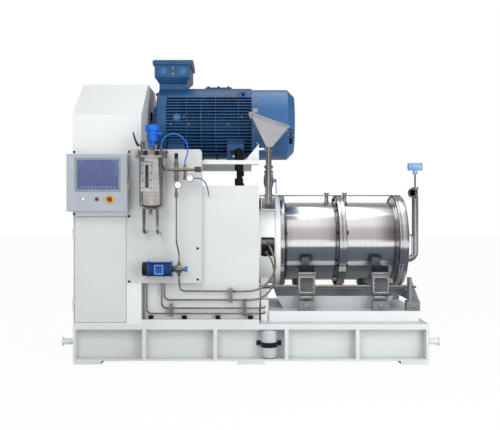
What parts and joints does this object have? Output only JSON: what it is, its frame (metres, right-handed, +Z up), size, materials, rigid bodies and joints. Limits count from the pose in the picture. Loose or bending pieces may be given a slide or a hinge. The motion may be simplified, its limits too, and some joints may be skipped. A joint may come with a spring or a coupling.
{
  "type": "horizontal bead mill",
  "caption": "Horizontal bead mill: belt-driven agitator shaft in a jacketed stainless chamber on a welded base, with motor on top, seal system, bead hopper and control box.",
  "frame": {"origin": "on the floor, centred between the anchor bolts of the base frame", "axes": "+X from the belt guard to the outlet end, +Y from the operator's side to the back, +Z up"},
  "size_m": [2.8, 1.358, 2.33],
  "materials": {
    "base_frame": "satin powder coat",
    "lifting_pins": "satin powder coat",
    "belt_guard": "satin powder coat",
    "guard_door": "satin powder coat",
    "panel_bolts": "black oxide",
    "control_box": "satin powder coat",
    "control_door": "satin powder coat",
    "touch_screen": "glass and moulded rim",
    "start_button": "moulded",
    "stop_button": "moulded",
    "emergency_stop": "moulded",
    "drive_cabinet": "satin powder coat",
    "seal_panel": "satin powder coat",
    "bearing_housing": "primed casting",
    "shaft_bearings": "ground",
    "adapter_housing": "satin powder coat",
    "mechanical_seal": "turned",
    "chamber_jacket": "polished stainless",
    "chamber_liner": "hardened",
    "clamp_rings": "turned stainless",
    "guide_rods": "hard chromed",
    "chamber_brackets": "grey paint, black pads",
    "pedestal": "satin powder coat",
    "drip_tray": "satin powder coat",
    "bead_line": "polished stainless",
    "bead_hopper": "brushed stainless",
    "hopper_lid": "brushed stainless",
    "bead_valve_lever": "dipped sleeve",
    "seal_pot": "polished stainless",
    "level_transmitter": "enamel",
    "gas_fittings": "machined stainless",
    "gas_knob": "moulded",
    "relief_knob": "moulded",
    "pot_valve_lever": "dipped sleeve",
    "pressure_gauges": "polished case, white dial",
    "gas_hose": "extruded polyurethane",
    "signal_hose": "extruded polyurethane",
    "pump_head": "machined",
    "pump_motor": "enamel on cast fins",
    "pump_rotor": "ground",
    "steel_tubes": "drawn stainless",
    "flex_hose_long": "braided stainless",
    "flex_hose_short": "braided stainless",
    "accumulator": "grey enamel",
    "jack_screws": "black oxide",
    "jack_nuts": "black oxide",
    "drive_belts": "wrapped rubber",
    "motor_frame": "enamel on cast fins",
    "motor_cowl": "enamel",
    "motor_terminal_box": "enamel",
    "motor_plate": "satin powder coat",
    "motor_rotor": "turned",
    "motor_pulley": "turned casting",
    "mill_pulley": "turned casting",
    "mill_shaft": "ground",
    "agitator_discs": "hardened",
    "cartridge_cover": "turned stainless",
    "separator_screen": "wedge wire",
    "outlet_pipe": "polished stainless",
    "temperature_probe": "enamel head on a steel stem"
  },
  "bodies": {
    "root": {"base_frame": "base_frame", "lifting_pins": "lifting_pins", "belt_guard": "belt_guard", "panel_bolts": "panel_bolts", "control_box": "control_box", "drive_cabinet": "drive_cabinet", "seal_panel": "seal_panel", "bearing_housing": "bearing_housing", "shaft_bearings": "shaft_bearings", "adapter_housing": "adapter_housing", "mechanical_seal": "mechanical_seal", "chamber_jacket": "chamber_jacket", "chamber_liner": "chamber_liner", "clamp_rings": "clamp_rings", "guide_rods": "guide_rods", "chamber_brackets": "chamber_brackets", "pedestal": "pedestal", "drip_tray": "drip_tray", "bead_line": "bead_line", "bead_hopper": "bead_hopper", "seal_pot": "seal_pot", "level_transmitter": "level_transmitter", "gas_fittings": "gas_fittings", "pressure_gauges": "pressure_gauges", "gas_hose": "gas_hose", "signal_hose": "signal_hose", "pump_head": "pump_head", "pump_motor": "pump_motor", "steel_tubes": "steel_tubes", "flex_hose_long": "flex_hose_long", "flex_hose_short": "flex_hose_short", "accumulator": "accumulator", "jack_screws": "jack_screws", "drive_belts": "drive_belts"},
    "guard_door": {"guard_door": "guard_door"},
    "control_door": {"control_door": "control_door", "touch_screen": "touch_screen"},
    "start_button": {"start_button": "start_button"},
    "stop_button": {"stop_button": "stop_button"},
    "emergency_stop": {"emergency_stop": "emergency_stop"},
    "hopper_lid": {"hopper_lid": "hopper_lid"},
    "bead_valve_lever": {"bead_valve_lever": "bead_valve_lever"},
    "pot_valve_lever": {"pot_valve_lever": "pot_valve_lever"},
    "gas_knob": {"gas_knob": "gas_knob"},
    "relief_knob": {"relief_knob": "relief_knob"},
    "motor_carriage": {"motor_plate": "motor_plate", "jack_nuts": "jack_nuts", "motor_frame": "motor_frame", "motor_cowl": "motor_cowl", "motor_terminal_box": "motor_terminal_box"},
    "motor_rotor": {"motor_rotor": "motor_rotor", "motor_pulley": "motor_pulley"},
    "mill_rotor": {"mill_shaft": "mill_shaft", "mill_pulley": "mill_pulley", "agitator_discs": "agitator_discs"},
    "pump_rotor": {"pump_rotor": "pump_rotor"},
    "screen_cartridge": {"cartridge_cover": "cartridge_cover", "separator_screen": "separator_screen", "outlet_pipe": "outlet_pipe", "temperature_probe": "temperature_probe"}
  },
  "joints": [
    {"name": "guard_door_swing", "type": "hinge", "parent": "root", "child": "guard_door", "pos_m": [-1.296, -0.556, 0.69], "axis": [0, 0, -1], "range_deg": [0, 110]},
    {"name": "control_door_swing", "type": "hinge", "parent": "root", "child": "control_door", "pos_m": [-1.3105, -0.658, 1.321], "axis": [0, 0, -1], "range_deg": [0, 115]},
    {"name": "start_press", "type": "slide", "parent": "control_door", "child": "start_button", "axis": [0, 1, 0], "range_m": [0, 0.004], "stiffness_N_per_m": 300},
    {"name": "stop_press", "type": "slide", "parent": "control_door", "child": "stop_button", "axis": [0, 1, 0], "range_m": [0, 0.004], "stiffness_N_per_m": 300},
    {"name": "emergency_stop_press", "type": "slide", "parent": "control_door", "child": "emergency_stop", "axis": [0, 1, 0], "range_m": [0, 0.006], "stiffness_N_per_m": 600},
    {"name": "hopper_lid_swing", "type": "hinge", "parent": "root", "child": "hopper_lid", "pos_m": [-0.01, -0.436, 1.841], "axis": [0, -1, 0], "range_deg": [0, 100]},
    {"name": "bead_valve_turn", "type": "hinge", "parent": "root", "child": "bead_valve_lever", "pos_m": [0.187, -0.38, 1.35], "axis": [-1, 0, 0], "range_deg": [0, 90]},
    {"name": "pot_valve_turn", "type": "hinge", "parent": "root", "child": "pot_valve_lever", "pos_m": [-0.8, -0.69, 1.589], "axis": [1, 0, 0], "range_deg": [0, 90]},
    {"name": "gas_knob_turn", "type": "hinge", "parent": "root", "child": "gas_knob", "pos_m": [-0.53, -0.69, 1.51], "axis": [0, 0, 1], "range_deg": [0, 270]},
    {"name": "relief_knob_turn", "type": "hinge", "parent": "root", "child": "relief_knob", "pos_m": [-0.38, -0.69, 1.415], "axis": [1, 0, 0], "range_deg": [0, 270]},
    {"name": "belt_tension", "type": "slide", "parent": "root", "child": "motor_carriage", "axis": [0, 0, 1], "range_m": [0, 0.03], "deforming": ["drive_belts"]},
    {"name": "motor_spin", "type": "hinge", "parent": "motor_carriage", "child": "motor_rotor", "pos_m": [-0.35, 0, 1.815], "axis": [1, 0, 0], "continuous": true},
    {"name": "mill_spin", "type": "hinge", "parent": "root", "child": "mill_rotor", "pos_m": [-0.35, 0, 0.885], "axis": [1, 0, 0], "continuous": true},
    {"name": "pump_spin", "type": "hinge", "parent": "root", "child": "pump_rotor", "pos_m": [-0.66, -0.64, 0.704], "axis": [1, 0, 0], "continuous": true},
    {"name": "cartridge_draw", "type": "slide", "parent": "root", "child": "screen_cartridge", "axis": [1, 0, 0], "range_m": [0, 0.3]}
  ],
  "couplings": [
    {"joint": "mill_spin", "follows": "motor_spin", "ratio": 0.47917}
  ]
}
